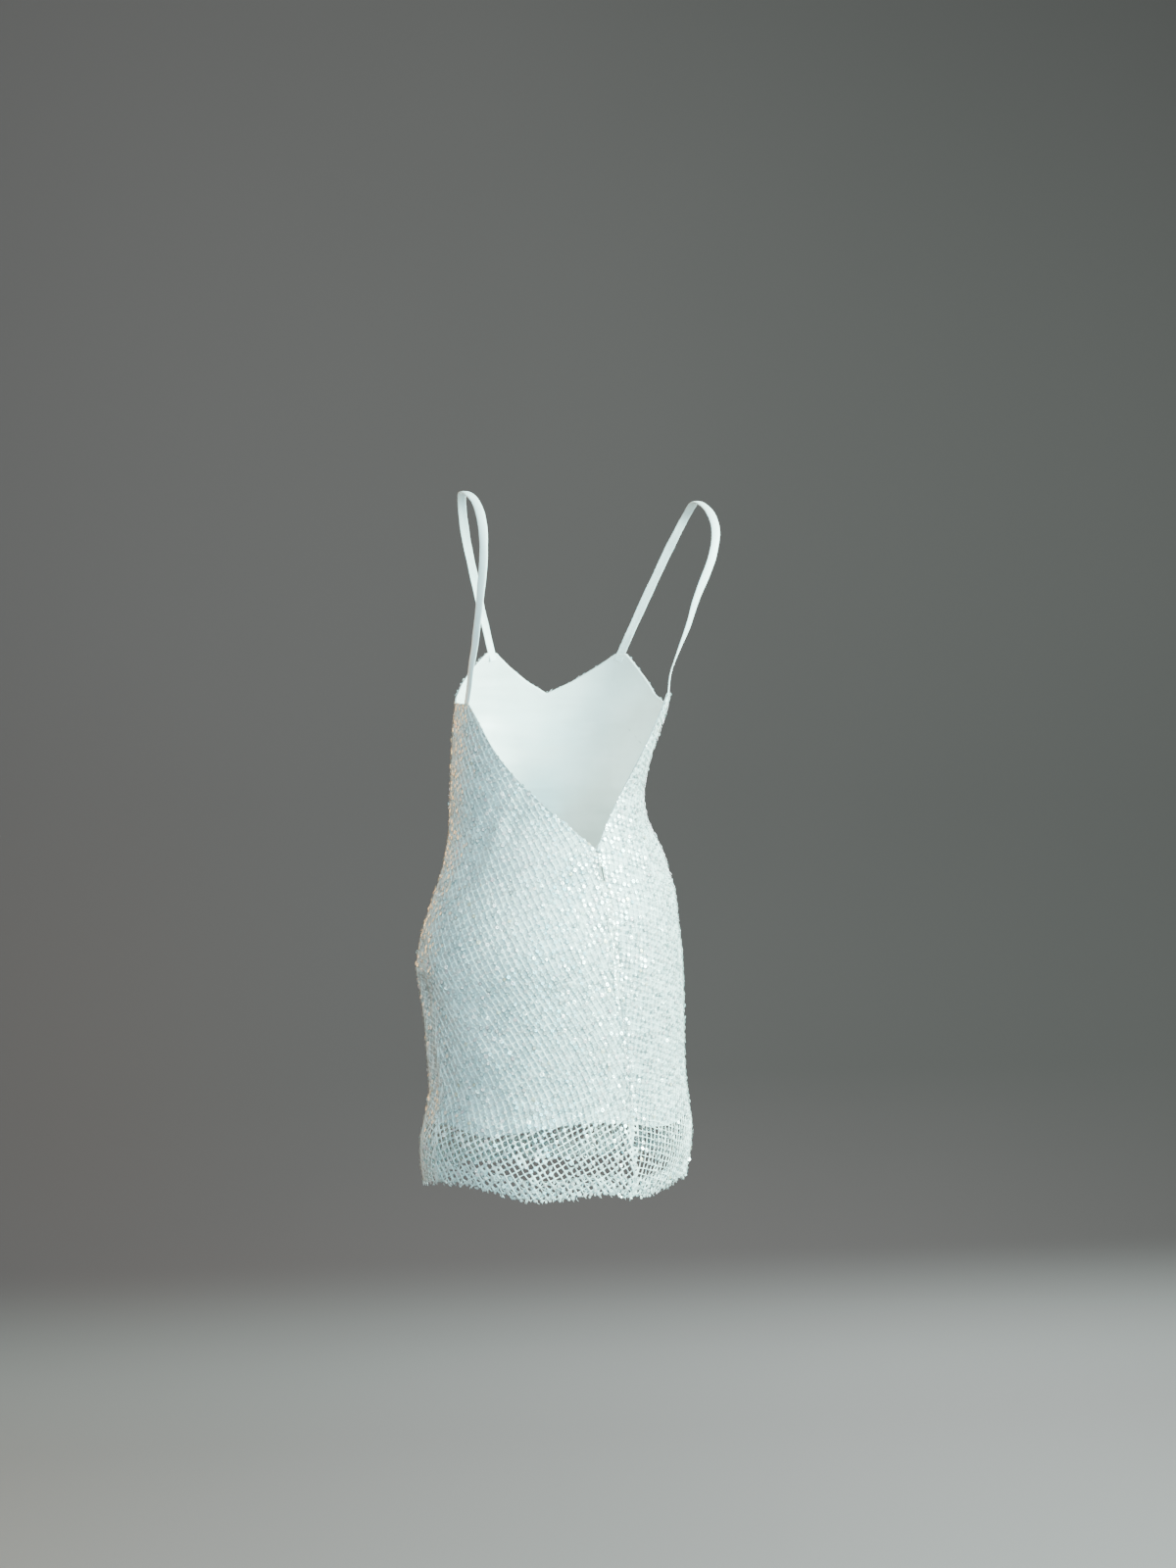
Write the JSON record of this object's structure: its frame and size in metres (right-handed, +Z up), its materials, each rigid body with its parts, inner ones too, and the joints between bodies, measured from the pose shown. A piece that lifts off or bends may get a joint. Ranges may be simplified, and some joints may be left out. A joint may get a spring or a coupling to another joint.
{
  "type": "cocktail dress",
  "caption": "Short fitted slip dress of sequinned square net over a smooth lining, with a deep V back, centre back zip and flat shoulder straps.",
  "frame": {"origin": "midway between the undersides of the two straps where they cross the shoulders", "axes": "+Z up, the front of the dress faces -Y, the wearer's left is +X"},
  "size_m": [0.3519, 0.2898, 0.8124],
  "materials": {
    "net": "ivory square net with clear pearly sequins",
    "lining": "smooth ivory satin lining",
    "strap": "ivory satin, folded flat",
    "zip_tape": "woven ivory tape",
    "zip_metal": "ivory painted metal",
    "zip_pull": "ivory painted metal"
  },
  "bodies": {
    "dress": {"back_right_net": "net", "back_left_net": "net", "front_net": "net", "back_right_lining": "lining", "back_left_lining": "lining", "front_lining": "lining", "zip_tape_left": "zip_tape", "zip_tape_right": "zip_tape", "strap_left": "strap", "strap_right": "strap", "zip_slider": "zip_metal"},
    "zip_pull": {"zip_pull": "zip_pull"}
  },
  "joints": [
    {"name": "zip_pull_hinge", "type": "hinge", "parent": "dress", "child": "zip_pull", "pos_m": [-0.00934, 0.10197, -0.42514], "axis": [0.9111, 0.3986, -0.1048], "range_deg": [0, 115]}
  ]
}
